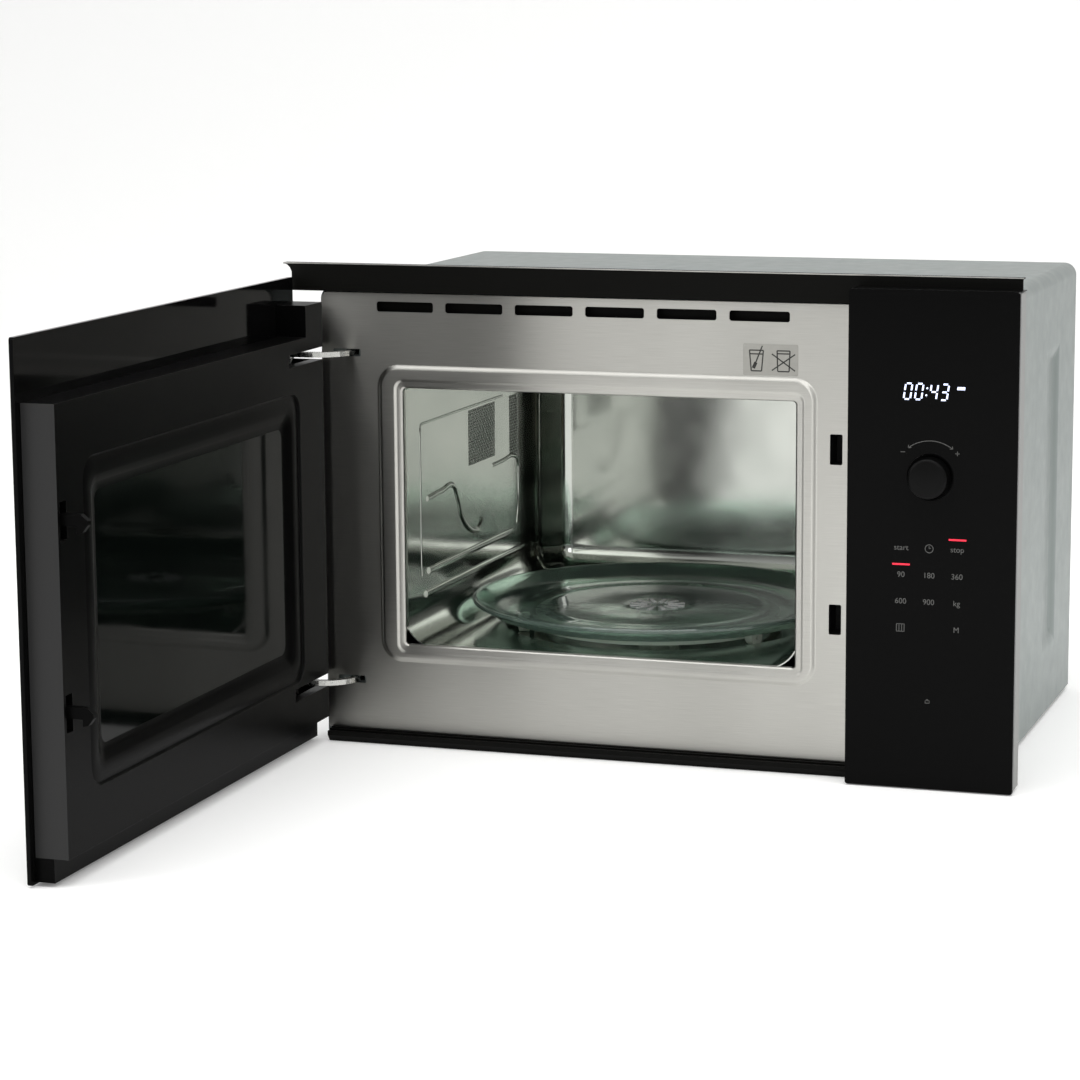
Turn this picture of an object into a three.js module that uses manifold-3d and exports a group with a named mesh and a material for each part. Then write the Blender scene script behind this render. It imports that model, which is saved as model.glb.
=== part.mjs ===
// Built-in microwave oven, 594 mm wide, with its door standing open.
// Millimetres, +Z up. X = 0 is the middle of the front, Y = 0 the face of the steel front plate
// (the room is on -Y), Z = 0 the sole of the bottom rail that the oven stands on.
import * as THREE from 'three';
import { mergeVertices } from 'three/addons/utils/BufferGeometryUtils.js';
import Module from 'manifold-3d';

const wasm = await Module();
wasm.setup();

// ---------------------------------------------------------------- driving dimensions
const GAP = 0.3; // between pieces that touch
const GLASS_FRONT = -30; // outer face of the door and panel glass
const PLATE = { left: -261.5, right: 272.5, bottom: 8, top: 359.5, thick: 1, corner: 6 };
const OPENING = { left: -193.5, right: 123, bottom: 80.6, top: 285.2, corner: 3 };
const RAISED = { left: -212.5, right: 137.5, bottom: 68.5, top: 301.5, corner: 16, height: 1.2 };
const VENT = { count: 6, first: -191, pitch: 57.1, width: 47, height: 8, z: 348.8 };
const WIRING = { left: 186, right: 262, bottom: 40, top: 340 }; // hole behind the control panel
const LATCH = { x: 154.3, width: 9.6, height: 23.2, heights: [249.9, 119.9] };
const HINGE = { heights: [312, 50], slotLeft: -252, slotRight: -228.5, slotHeight: 6 };
const PIVOT = { x: -279, y: -23.2 };
const CAVITY = { left: -196, right: 125.5, floor: 79, ceiling: 287, back: 350, chamfer: 22, sheet: 1 };
const CASING = { left: -262, right: 273, bottom: 3.7, top: 363.6, back: 358.3, sheet: 1, corner: 10 };
const BASE = { bottom: 4, sheet: 1, lip: 8 };
const PANEL = { left: 170, right: 297, bottom: 1, top: 373.7, glass: 4, depth: 25, wall: 2 };
const DOOR = { left: -296, right: 168.9, bottom: 1.5, top: 371, glass: 3 };
const FRAME = {
  left: -295, right: 162.2, bottom: 3, top: 327.3, inner: -2, wall: 2.5,
  stepTop: 19.8, stepY: -12.6, blockTop: 352, blockWidth: 33,
};
const WINDOW = { left: -247, right: 123.5, bottom: 60, top: 286, corner: 16 };
const KNOB = { x: 232.3, z: 236.5, radius: 15, front: -42, hole: 17.5 };
const TURN = { x: -35.3, y: 165, recess: 128, recessFloor: 74, trackRadius: 112, rollerRadius: 6 };
const PLATTER = { radius: 152, under: 86.6, bottom: 4.4, rim: 100 };
const FAN = { x: 200, y: 318, z: 250, radius: 42 };
const ARM = { thick: 4, eye: 3.3, pin: 2, width: 6 };

// ---------------------------------------------------------------- materials
const finish = (color, roughness, metalness, extra = {}) =>
  new THREE.MeshStandardMaterial({ color, roughness, metalness, ...extra });
const STAINLESS = finish('#b0afa9', 0.32, 1);
const CAVITY_STEEL = finish('#a3a8a5', 0.28, 1);
const ZINC = finish('#a0a9a7', 0.5, 0.8);
const BLACK_GLASS = finish('#131312', 0.08, 0);
const BLACK_PAINT = finish('#1d1d18', 0.45, 0.1);
const BLACK_PLASTIC = finish('#121212', 0.3, 0);
const GREY_PLASTIC = finish('#3c3c3c', 0.5, 0);
const SIDE_GREY = finish('#80807e', 0.5, 0);
const CLEAR_GLASS = finish('#9fb8ae', 0.05, 0, { transparent: true, opacity: 0.45 });
const BRIGHT_STEEL = finish('#c8c8c4', 0.25, 1);
const WHITE_PLASTIC = finish('#dcdcd4', 0.5, 0);
const COPPER = finish('#a8562c', 0.4, 0.7);
const IRON = finish('#4b4b4d', 0.6, 0.6);
const ALUMINIUM = finish('#b9bbbd', 0.4, 1);
const BOARD_GREEN = finish('#2c5a3a', 0.6, 0);
const MICA = finish('#b9b09a', 0.6, 0);
const RUBBER = finish('#202020', 0.9, 0);
const DISPLAY_BLACK = finish('#0a0c10', 0.2, 0);

// ---------------------------------------------------------------- shape helpers
// Stands an outline drawn in X and Z up, and gives it its thickness from y0 to y1.
function slabY(outline, y0, y1) {
  const slab = new THREE.ExtrudeGeometry(outline, { depth: y1 - y0, bevelEnabled: false, curveSegments: 3 });
  return slab.rotateX(Math.PI / 2).translate(0, y1, 0);
}

// An outline drawn in X and Y, with its thickness from z0 to z1.
function slabZ(outline, z0, z1) {
  const slab = new THREE.ExtrudeGeometry(outline, { depth: z1 - z0, bevelEnabled: false, curveSegments: 4 });
  return slab.translate(0, 0, z0);
}

// An outline drawn in Y and Z, with its thickness from x0 to x1.
function slabX(outline, x0, x1) {
  const slab = new THREE.ExtrudeGeometry(outline, { depth: x1 - x0, bevelEnabled: false, curveSegments: 3 });
  const turn = new THREE.Matrix4().makeBasis(
    new THREE.Vector3(0, 1, 0), new THREE.Vector3(0, 0, 1), new THREE.Vector3(1, 0, 0));
  return slab.applyMatrix4(turn).translate(x0, 0, 0);
}

function rect(x0, x1, y0, y1, corner = 0) {
  const outline = new THREE.Shape();
  if (!corner) {
    outline.moveTo(x0, y0).lineTo(x1, y0).lineTo(x1, y1).lineTo(x0, y1).closePath();
    return outline;
  }
  outline.moveTo(x0 + corner, y0).lineTo(x1 - corner, y0);
  outline.absarc(x1 - corner, y0 + corner, corner, -Math.PI / 2, 0);
  outline.absarc(x1 - corner, y1 - corner, corner, 0, Math.PI / 2);
  outline.absarc(x0 + corner, y1 - corner, corner, Math.PI / 2, Math.PI);
  outline.absarc(x0 + corner, y0 + corner, corner, Math.PI, Math.PI * 1.5);
  return outline;
}

function polygon(points) {
  return new THREE.Shape(points.map(([a, b]) => new THREE.Vector2(a, b)));
}

function box(x0, x1, y0, y1, z0, z1) {
  const shape = new THREE.BoxGeometry(x1 - x0, y1 - y0, z1 - z0);
  return shape.translate((x0 + x1) / 2, (y0 + y1) / 2, (z0 + z1) / 2);
}

// A round bar along the named axis, from a to b on it, centred at the other two coordinates.
function bar(axis, radius, a, b, u, v, sides = 32) {
  const shape = new THREE.CylinderGeometry(radius, radius, b - a, sides);
  if (axis === 'x') return shape.rotateZ(Math.PI / 2).translate((a + b) / 2, u, v);
  if (axis === 'y') return shape.translate(u, (a + b) / 2, v);
  return shape.rotateX(Math.PI / 2).translate(u, v, (a + b) / 2);
}

// A profile of [radius, height] points turned about the upright axis at x, y.
function turned(profile, x, y, sides = 64) {
  const points = profile.map(([r, z]) => new THREE.Vector2(r, z));
  return new THREE.LatheGeometry(points, sides).rotateX(Math.PI / 2).translate(x, y, 0);
}

function solid(geometry) {
  const bare = geometry.clone();
  bare.deleteAttribute('normal');
  bare.deleteAttribute('uv');
  const merged = mergeVertices(bare, 1e-4);
  return new wasm.Manifold(new wasm.Mesh({
    numProp: 3,
    vertProperties: new Float32Array(merged.attributes.position.array),
    triVerts: new Uint32Array(merged.index.array),
  }));
}

// Joins the first list of shapes and cuts the second list from them.
function carve(joined, cuts = []) {
  let body = solid(joined[0]);
  for (const shape of joined.slice(1)) body = body.add(solid(shape));
  for (const shape of cuts) body = body.subtract(solid(shape));
  const mesh = body.getMesh();
  const geometry = new THREE.BufferGeometry();
  geometry.setAttribute('position', new THREE.BufferAttribute(new Float32Array(mesh.vertProperties), 3));
  geometry.setIndex(new THREE.BufferAttribute(new Uint32Array(mesh.triVerts), 1));
  geometry.computeVertexNormals();
  return geometry;
}

const oven = new THREE.Group();

function piece(name, geometry, material, parent = oven) {
  const mesh = new THREE.Mesh(geometry, material);
  mesh.name = name;
  parent.add(mesh);
  return mesh;
}

// ---------------------------------------------------------------- front plate
// Stainless sheet with the oven opening, cooling slots, latch slots and hinge slots.
function frontPlate() {
  const sheet = rect(PLATE.left, PLATE.right, PLATE.bottom, PLATE.top, PLATE.corner);
  const hole = (x0, x1, z0, z1, corner) => slabY(rect(x0, x1, z0, z1, corner), -5, 5);
  const slot = (x, z, width, height) =>
    hole(x - width / 2, x + width / 2, z - height / 2, z + height / 2, 1.5);
  const hingeX = (HINGE.slotLeft + HINGE.slotRight) / 2;
  const cuts = [
    hole(OPENING.left, OPENING.right, OPENING.bottom, OPENING.top, OPENING.corner),
    hole(WIRING.left, WIRING.right, WIRING.bottom, WIRING.top, 4),
    ...LATCH.heights.map((z) => slot(LATCH.x, z, LATCH.width, LATCH.height)),
    ...HINGE.heights.map((z) => slot(hingeX, z, HINGE.slotRight - HINGE.slotLeft, HINGE.slotHeight)),
  ];
  for (let i = 0; i < VENT.count; i++) {
    cuts.push(slot(VENT.first + i * VENT.pitch, VENT.z, VENT.width, VENT.height));
  }
  const raised = rect(RAISED.left, RAISED.right, RAISED.bottom, RAISED.top, RAISED.corner);
  return carve([slabY(sheet, 0, PLATE.thick), slabY(raised, -RAISED.height, 0.5)], cuts);
}
piece('cavity_front_plate', frontPlate(), STAINLESS);

// ---------------------------------------------------------------- oven cavity
// Folded steel box with cut rear corners, a weld flange, and a round recess for the roller track.
function cavityOutline(grow, front) {
  const { left, right, back, chamfer } = CAVITY;
  const cut = chamfer + grow * 0.41;
  return polygon([
    [left - grow, front], [right + grow, front], [right + grow, back + grow - cut],
    [right + grow - cut, back + grow], [left - grow + cut, back + grow], [left - grow, back + grow - cut],
  ]);
}
const cavityFront = PLATE.thick + GAP;
const waveguideHole = { y0: 130, y1: 210, z0: 150, z1: 200 };
piece('cavity_shell', carve([
  slabZ(cavityOutline(CAVITY.sheet, cavityFront), CAVITY.floor - CAVITY.sheet, CAVITY.ceiling + CAVITY.sheet),
  slabY(rect(RAISED.left + 4, RAISED.right - 2, RAISED.bottom + 2, RAISED.top - 4),
    cavityFront, cavityFront + CAVITY.sheet),
  bar('z', TURN.recess + CAVITY.sheet, TURN.recessFloor - CAVITY.sheet, CAVITY.floor - 0.5, TURN.x, TURN.y, 64),
], [
  slabZ(cavityOutline(0, 0), CAVITY.floor, CAVITY.ceiling),
  bar('z', TURN.recess, TURN.recessFloor, CAVITY.floor + 5, TURN.x, TURN.y, 64),
  bar('z', 6, 60, 90, TURN.x, TURN.y),
  box(CAVITY.right - 3, CAVITY.right + 5,
    waveguideHole.y0, waveguideHole.y1, waveguideHole.z0, waveguideHole.z1),
]), CAVITY_STEEL);

piece('waveguide_cover', box(CAVITY.right - GAP - 0.5, CAVITY.right - GAP,
  waveguideHole.y0 - 8, waveguideHole.y1 + 8, waveguideHole.z0 - 8, waveguideHole.z1 + 8), MICA);

// ---------------------------------------------------------------- outer casing
// One zinc-coated sheet folded over the left side, the top and the right side.
function casingOutline(inset, floor) {
  const { left, right, top } = CASING;
  const radius = CASING.corner - inset;
  const outline = new THREE.Shape();
  outline.moveTo(left + inset, floor).lineTo(right - inset, floor);
  outline.lineTo(right - inset, top - CASING.corner);
  outline.absarc(right - CASING.corner, top - CASING.corner, radius, 0, Math.PI / 2);
  outline.absarc(left + CASING.corner, top - CASING.corner, radius, Math.PI / 2, Math.PI);
  return outline;
}
const casingFront = PLATE.thick + GAP;
piece('casing', carve(
  [slabY(casingOutline(0, CASING.bottom), casingFront, CASING.back)],
  [slabY(casingOutline(CASING.sheet, CASING.bottom - 5), casingFront - 5, CASING.back + 5)]), ZINC);

const inside = {
  left: CASING.left + CASING.sheet + GAP, right: CASING.right - CASING.sheet - GAP,
  top: CASING.top - CASING.sheet - GAP, back: CASING.back - 4,
};
// Folded floor pan with its edges turned up inside the casing.
piece('base_pan', carve(
  [box(inside.left, inside.right, casingFront, inside.back - GAP, BASE.bottom, BASE.bottom + BASE.lip)],
  [box(inside.left + 1, inside.right - 1, casingFront - 5, inside.back + 5, BASE.bottom + BASE.sheet, 40),
    bar('z', 20, 0, 10, TURN.x, TURN.y)]), ZINC);

// Rear cover with rows of air slots and the hole for the supply lead's gland.
const gland = { x: 235, z: 335, radius: 9 };
const airSlot = { starts: [-195, -150, 165, 210], width: 38, height: 4, rows: 8, bottom: 205, pitch: 11 };
function rearPanel() {
  const sheet = rect(inside.left, inside.right, BASE.bottom + GAP, inside.top, CASING.corner - 1.5);
  const cuts = [bar('y', gland.radius - 2.5, 340, 370, gland.x, gland.z, 24)];
  for (let row = 0; row < airSlot.rows; row++) {
    for (const x of airSlot.starts) {
      const z = airSlot.bottom + row * airSlot.pitch;
      cuts.push(box(x, x + airSlot.width, 340, 370, z, z + airSlot.height));
    }
  }
  return carve([slabY(sheet, inside.back, inside.back + 1)], cuts);
}
piece('rear_panel', rearPanel(), ZINC);
piece('cord_gland', carve([
  bar('y', gland.radius - 2.8, inside.back - 4, inside.back + 3.4, gland.x, gland.z, 24),
  bar('y', gland.radius, inside.back - 4, inside.back - GAP, gland.x, gland.z, 24),
  bar('y', gland.radius, inside.back + 1 + GAP, inside.back + 3.4, gland.x, gland.z, 24),
], [bar('y', 3.6, 300, 400, gland.x, gland.z, 24)]), RUBBER);

for (const [side, x] of [['left', -225], ['right', 215]]) {
  piece(`rear_foot_${side}`, bar('z', 10, 0, BASE.bottom - GAP, x, 320), RUBBER);
}
for (const [side, x] of [['left', -180], ['right', 120]]) {
  const face = inside.back + 1 + GAP;
  piece(`rear_screw_${side}`, bar('y', 3.5, face, face + 2, x, 350, 16), BRIGHT_STEEL);
}

// ---------------------------------------------------------------- trims
// Black strip over the door and panel, with a thin lip along its top.
piece('top_trim', carve([
  slabY(polygon([
    [-285, 360.3], [293.5, 360.3], [293.5, 381.5], [-292, 381.5], [-289, 380.6], [-286.4, 378.2], [-285, 375],
  ]), -GAP - 2, -GAP),
  box(-292, 294, -GAP - 2, 5, 381, 382),
  box(-285, 272, -GAP - 1, 24, CASING.top + GAP, CASING.top + GAP + 1),
]), BLACK_PAINT);

// Bottom rail: the front foot of the oven. Its front edge leans forward and carries two grooves.
function railProfile(front) {
  return polygon([
    [front + 4, 0], [12, 0], [12, BASE.bottom - GAP], [-GAP, BASE.bottom - GAP], [-GAP, 10.5],
    [-3, 10.5], [-3, 8.6], [-4.5, 8.6], [-4.5, 9.8], [-6.5, 9.8], [-6.5, 7.8], [-8, 7.8], [-8, 8.6],
    [front, 8.6], [front, 5],
  ]);
}
const railUnderPanel = polygon([
  [-3.5, 0], [12, 0], [12, BASE.bottom - GAP], [-GAP, BASE.bottom - GAP], [-GAP, 10.5], [-3.5, 10.5],
]);
piece('bottom_rail', carve([slabX(railProfile(-11), -258, 168.5), slabX(railUnderPanel, 168, 272)]),
  BLACK_PAINT);

// ---------------------------------------------------------------- hinges, fixed half
// Each goose-neck arm comes out of its slot and turns towards the pin inside the door's corner.
function hingeArm(z) {
  const path = new THREE.CatmullRomCurve3([
    new THREE.Vector3(PIVOT.x, PIVOT.y, z), new THREE.Vector3(-266, -22.6, z), new THREE.Vector3(-252, -19, z),
    new THREE.Vector3(-242, -10, z), new THREE.Vector3(-238, 1, z), new THREE.Vector3(-237.5, 14, z),
  ]);
  const points = path.getPoints(14);
  const left = [];
  const right = [];
  points.forEach((p, i) => {
    const along = path.getTangent(i / 14);
    left.push([p.x - along.y * ARM.width / 2, p.y + along.x * ARM.width / 2]);
    right.push([p.x + along.y * ARM.width / 2, p.y - along.x * ARM.width / 2]);
  });
  return carve([
    slabZ(polygon([...left, ...right.reverse()]), z - ARM.thick / 2, z + ARM.thick / 2),
    bar('z', ARM.eye, z - ARM.thick / 2, z + ARM.thick / 2, PIVOT.x, PIVOT.y, 24),
  ], [bar('z', ARM.pin + GAP, z - 10, z + 10, PIVOT.x, PIVOT.y, 24)]);
}
HINGE.heights.forEach((z, i) => {
  const which = ['upper', 'lower'][i];
  piece(`hinge_arm_${which}`, hingeArm(z), BRIGHT_STEEL);
  piece(`hinge_bracket_${which}`, carve(
    [box(-258, -222, 6, 8, z - 18, z + 18), box(-258, -256, PLATE.thick + GAP, 8, z - 18, z + 18)],
    [box(-243, -232, 0, 20, z - ARM.thick / 2 - GAP, z + ARM.thick / 2 + GAP)]), ZINC);
});

// ---------------------------------------------------------------- control panel
const knobHole = (y0, y1, radius) => bar('y', radius, y0, y1, KNOB.x, KNOB.z, 40);
const panelGlassBack = GLASS_FRONT + PANEL.glass;
piece('control_panel_glass', carve(
  [slabY(rect(PANEL.left, PANEL.right, PANEL.bottom, PANEL.top, 2), GLASS_FRONT, panelGlassBack)],
  [knobHole(-40, -20, KNOB.hole)]), BLACK_GLASS);

const screen = { x0: 203, x1: 264, z0: 288, z1: 314 };
const keys = { x0: 196, x1: 268, z0: 56, z1: 200 };
function panelHousing() {
  const front = panelGlassBack + GAP;
  const rear = GLASS_FRONT + PANEL.depth;
  const { left, right, bottom, top, wall } = PANEL;
  const bosses = [];
  for (const x of [left + 6, right - 36]) {
    for (const z of [24, 345]) bosses.push(box(x, x + 8, front + 1, -GAP, z, z + 8));
  }
  const outer = slabY(rect(left + 0.5, right - 0.5, bottom + 0.5, top - 0.5, 2), front, rear);
  return carve([outer, ...bosses], [
    carve([box(left + wall, right - wall, front + wall, rear + 5, bottom + wall, top - wall)], bosses),
    box(screen.x0, screen.x1, -40, -15, screen.z0, screen.z1),
    box(keys.x0, keys.x1, -40, -15, keys.z0, keys.z1),
    knobHole(-40, -15, 12),
  ]);
}
piece('control_panel_housing', panelHousing(), SIDE_GREY);
piece('display_module', box(screen.x0 + 1, screen.x1 - 1, panelGlassBack + GAP, -15,
  screen.z0 + 1, screen.z1 - 1), DISPLAY_BLACK);
piece('touch_key_foil', box(keys.x0 + 1, keys.x1 - 1, panelGlassBack + GAP, panelGlassBack + GAP + 0.5,
  keys.z0 + 1, keys.z1 - 1), BLACK_PLASTIC);
piece('control_board', box(182, 258, -14, -12.4, 50, 330), BOARD_GREEN);
piece('knob_encoder', carve(
  [box(KNOB.x - 7, KNOB.x + 7, -20, -14 - GAP, KNOB.z - 7, KNOB.z + 7),
    bar('y', 5, -23, -19, KNOB.x, KNOB.z, 24)],
  [bar('y', 3 + GAP, -30, -16, KNOB.x, KNOB.z, 24)]), IRON);
piece('knob', carve([
  turned([[0, 0], [KNOB.radius, 0], [KNOB.radius, 13], [KNOB.radius - 1, 15], [0, 15]], 0, 0, 48)
    .rotateX(Math.PI / 2).translate(KNOB.x, KNOB.front + 15, KNOB.z),
  bar('y', 3, KNOB.front + 10, -17, KNOB.x, KNOB.z, 24),
]), BLACK_PLASTIC);

// ---------------------------------------------------------------- door latch receiver
// Moulded carrier behind the latch slots, with the three door switches on it.
const carrier = { x0: 142, x1: 166, y0: PLATE.thick + GAP, y1: 34, z0: 98, z1: 272 };
const switches = [['primary', LATCH.heights[0]], ['monitor', 185], ['secondary', LATCH.heights[1]]];
piece('latch_bracket', carve([box(carrier.x0, carrier.x1, carrier.y0, carrier.y1, carrier.z0, carrier.z1)], [
  ...LATCH.heights.map((z) =>
    box(LATCH.x - 6.5, LATCH.x + 6.5, carrier.y0 - 5, carrier.y1 - 4, z - 13, z + 13)),
  ...switches.map(([, z]) => box(LATCH.x + 5, carrier.x1 + 5, 18, 22, z - 3, z + 3)),
  box(carrier.x0 + 3, carrier.x1 - 3, carrier.y0 - 5, carrier.y1 - 4, 142, 228),
]), GREY_PLASTIC);
for (const [name, z] of switches) {
  const x0 = carrier.x1 + GAP;
  piece(`door_switch_${name}`, carve([box(x0, x0 + 10, 12, 40, z - 8, z + 8)],
    [box(x0 - 5, x0 + 5, 18.4, 21.6, z - 1.6, z + 1.6)]), GREY_PLASTIC);
  piece(`switch_plunger_${name}`, box(x0 - 2.6, x0 + 4, 18.7, 21.3, z - 1.3, z + 1.3), WHITE_PLASTIC);
}

// ---------------------------------------------------------------- power unit, right of the cavity
const guide = { x0: CAVITY.right + CAVITY.sheet + GAP, x1: 148, y0: 122, y1: 218, z0: 140, z1: 240 };
piece('waveguide', carve([box(guide.x0, guide.x1, guide.y0, guide.y1, guide.z0, guide.z1)], [
  box(guide.x0 - 5, guide.x1 - 1, guide.y0 + 1, guide.y1 - 1, guide.z0 + 1, guide.z1 - 1),
  bar('x', 11, guide.x1 - 5, guide.x1 + 5, 170, 222),
]), ZINC);

function magnetron() {
  const x = guide.x1 + GAP;
  const fins = [];
  for (let i = 0; i < 5; i++) fins.push(box(x + 18 + i * 9, x + 20 + i * 9, 132, 208, 180, 264));
  return carve([
    box(x, x + 12, 128, 212, 178, 266),
    bar('x', 20, x + 8, x + 66, 170, 222, 20), bar('x', 9, x - 14, x + 4, 170, 222, 20),
    box(x + 62, x + 88, 140, 200, 192, 252), ...fins,
  ]);
}
piece('magnetron', magnetron(), ALUMINIUM);
piece('thermal_cutout', bar('x', 8, guide.x1 + GAP, guide.x1 + GAP + 9, 170, 160, 24), WHITE_PLASTIC);

const core = { x0: 166, x1: 252, y0: 70, y1: 160, z0: BASE.bottom + BASE.sheet + GAP, z1: 82 };
const coil = { y0: core.y0 - 14, y1: core.y1 + 14, z0: 24, z1: 66 };
piece('transformer_core', carve([box(core.x0, core.x1, core.y0, core.y1, core.z0, core.z1)],
  [box(core.x0 + 16, core.x1 - 16, core.y0 - 5, core.y1 + 5, coil.z0, coil.z1)]), IRON);
piece('transformer_windings', carve([slabZ(rect(core.x0 + 16 + GAP, core.x1 - 16 - GAP, coil.y0, coil.y1, 12),
  coil.z0 + GAP, coil.z1 - GAP)]), COPPER);
piece('hv_capacitor', slabZ(rect(175, 245, 190, 225, 17), 5.3, 95), ALUMINIUM);
piece('hv_diode', bar('y', 4, 190, 215, 255, 60, 16), BLACK_PLASTIC);
piece('noise_filter', carve([
  box(170, 262, 60, 130, 330, 332), bar('z', 14, 331, 350, 195, 95, 24), box(220, 250, 75, 115, 331, 348),
]), BOARD_GREEN);

// Lamp in its holder, shining through the cavity's right wall.
const lamp = { y: 262, z: 230 };
const wallOutside = CAVITY.right + CAVITY.sheet + GAP;
piece('lamp_holder', carve([
  box(wallOutside, wallOutside + 26, lamp.y - 22, lamp.y + 22, lamp.z - 22, lamp.z + 22)],
  [box(wallOutside - 5, wallOutside + 24, lamp.y - 20, lamp.y + 20, lamp.z - 20, lamp.z + 20)]), ZINC);
piece('cavity_lamp', bar('z', 9, lamp.z - 16, lamp.z + 16, wallOutside + 12, lamp.y, 24), CLEAR_GLASS);

// Cooling fan, blowing forward from the rear cover.
function fanDuct() {
  const { x, y, z, radius } = FAN;
  return carve([box(x - radius - 8, x + radius + 8, y - 14, y + 16, z - radius - 8, z + radius + 8)],
    [bar('y', radius + 2, y - 40, y + 14, x, z, 40), bar('y', radius - 8, y, y + 40, x, z, 40)]);
}
piece('fan_duct', fanDuct(), WHITE_PLASTIC);
piece('fan_motor', carve([
  box(FAN.x - 20, FAN.x + 20, FAN.y - 44, FAN.y - 20, FAN.z - 24, FAN.z + 24),
  box(FAN.x - 60, FAN.x + 60, FAN.y - 20, FAN.y - 14 - GAP, FAN.z - 5, FAN.z + 5),
], [bar('y', 4, FAN.y - 30, FAN.y, FAN.x, FAN.z, 24)]), IRON);
function impeller() {
  const hub = bar('y', 13, FAN.y - 12, FAN.y + 8, FAN.x, FAN.z, 24);
  const shaft = bar('y', 3, FAN.y - 28, FAN.y - 8, FAN.x, FAN.z, 16);
  const blades = [];
  for (let i = 0; i < 7; i++) {
    const blade = box(-7, 7, -1, 1, 8, FAN.radius - 3);
    blades.push(blade.rotateZ(0.6).rotateY((i * 2 * Math.PI) / 7).translate(FAN.x, FAN.y, FAN.z));
  }
  return carve([hub, shaft, ...blades]);
}
piece('fan_impeller', impeller(), GREY_PLASTIC);

// ---------------------------------------------------------------- turntable drive
const motorTop = TURN.recessFloor - CAVITY.sheet - GAP;
piece('turntable_motor', carve([
  bar('z', 25, motorTop - 20, motorTop, TURN.x, TURN.y),
  box(TURN.x - 34, TURN.x + 34, TURN.y - 7, TURN.y + 7, motorTop - 2, motorTop),
], [bar('z', 5, motorTop - 12, motorTop + 5, TURN.x, TURN.y, 24)]), ZINC);

function coupler() {
  const arms = [0, 1, 2].map((i) => box(0, 17, -4, 4, 81, 85.4)
    .rotateZ((i * 2 * Math.PI) / 3).translate(TURN.x, TURN.y, 0));
  const shaft = bar('z', 4.4, motorTop - 10, 80, TURN.x, TURN.y, 24);
  return carve([shaft, bar('z', 12, 79.6, 85.4, TURN.x, TURN.y, 24), ...arms]);
}
piece('turntable_coupler', coupler(), WHITE_PLASTIC);

const rollerZ = TURN.recessFloor + GAP + TURN.rollerRadius;
function rollerRing() {
  const ring = turned([
    [94, rollerZ - 3], [101, rollerZ - 3], [101, rollerZ + 3], [94, rollerZ + 3], [94, rollerZ - 3],
  ], TURN.x, TURN.y, 48);
  const stubs = [0, 1, 2].map((i) => bar('x', 1.6, 99, TURN.trackRadius + 6, 0, rollerZ, 12)
    .rotateZ((i * 2 * Math.PI) / 3 + Math.PI / 2).translate(TURN.x, TURN.y, 0));
  return carve([ring, ...stubs]);
}
piece('roller_ring', rollerRing(), WHITE_PLASTIC);
for (let i = 0; i < 3; i++) {
  const wheel = carve([bar('x', TURN.rollerRadius, TURN.trackRadius - 4, TURN.trackRadius + 4, 0, rollerZ, 24)],
    [bar('x', 1.6 + GAP, 90, 130, 0, rollerZ, 16)]);
  wheel.rotateZ((i * 2 * Math.PI) / 3 + Math.PI / 2).translate(TURN.x, TURN.y, 0);
  piece(`roller_${i + 1}`, wheel, WHITE_PLASTIC);
}

// Pressed glass platter with a raised rim.
const platterTop = PLATTER.under + PLATTER.bottom;
piece('turntable_glass', turned([
  [0, PLATTER.under], [133, PLATTER.under], [139, PLATTER.under + 2.5], [146, 94], [PLATTER.radius, 96.5],
  [PLATTER.radius, PLATTER.rim], [148, PLATTER.rim], [142, 98], [136, 93], [131, platterTop], [0, platterTop],
], TURN.x, TURN.y, 56), CLEAR_GLASS);

// ---------------------------------------------------------------- door
// The door is drawn shut, and its group turns it a quarter open about the hinge pins.
const door = new THREE.Group();
door.position.set(PIVOT.x, PIVOT.y, 0);
door.rotation.z = -Math.PI / 2;
oven.add(door);
const hung = (geometry) => geometry.translate(-PIVOT.x, -PIVOT.y, 0);

const doorGlassBack = GLASS_FRONT + DOOR.glass;
const doorPane = rect(DOOR.left, DOOR.right, DOOR.bottom, DOOR.top, 2);
piece('door_glass', hung(slabY(doorPane, GLASS_FRONT, doorGlassBack)), BLACK_GLASS, door);

// Moulded tray behind the glass, with the window, latch slots, hinge notches and their bosses.
function doorFrame() {
  const front = doorGlassBack + GAP;
  const { left, right, bottom, top, inner, wall, stepTop, stepY, blockTop } = FRAME;
  const blockRight = left + FRAME.blockWidth;
  const joined = [
    box(left, right, front, inner, stepTop, top), box(left, right, front, stepY, bottom, stepTop + 1),
    box(left, blockRight, front, inner, top - 1, blockTop),
  ];
  const hollow = [
    box(left + wall, right - wall, front - 5, inner - wall, stepTop + wall, top - wall),
    box(left + wall, right - wall, front - 5, stepY - wall, bottom + wall, stepTop + wall + 1),
    box(left + wall, blockRight - wall, front - 5, inner - wall, top - wall - 1, blockTop - wall),
  ];
  const shell = carve(joined, hollow);
  const bosses = HINGE.heights.map((z) => box(left + 1, left + 26, front, inner - 1, z - 14, z + 14));
  const cuts = [
    slabY(rect(WINDOW.left, WINDOW.right, WINDOW.bottom, WINDOW.top, WINDOW.corner), -10, 5),
    ...HINGE.heights.map((z) => box(left - 5, -228, front - 5, 5, z - 5, z + 5)),
    ...HINGE.heights.map((z) => bar('z', ARM.pin + GAP, z - 12, z + 12, PIVOT.x, PIVOT.y, 24)),
    ...LATCH.heights.map((z) => box(LATCH.x - 5, LATCH.x + 4.5, -10, 5, z - 14, z + 12)),
  ];
  return carve([shell, ...bosses], cuts);
}
piece('door_frame', hung(doorFrame()), BLACK_PLASTIC, door);

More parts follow.
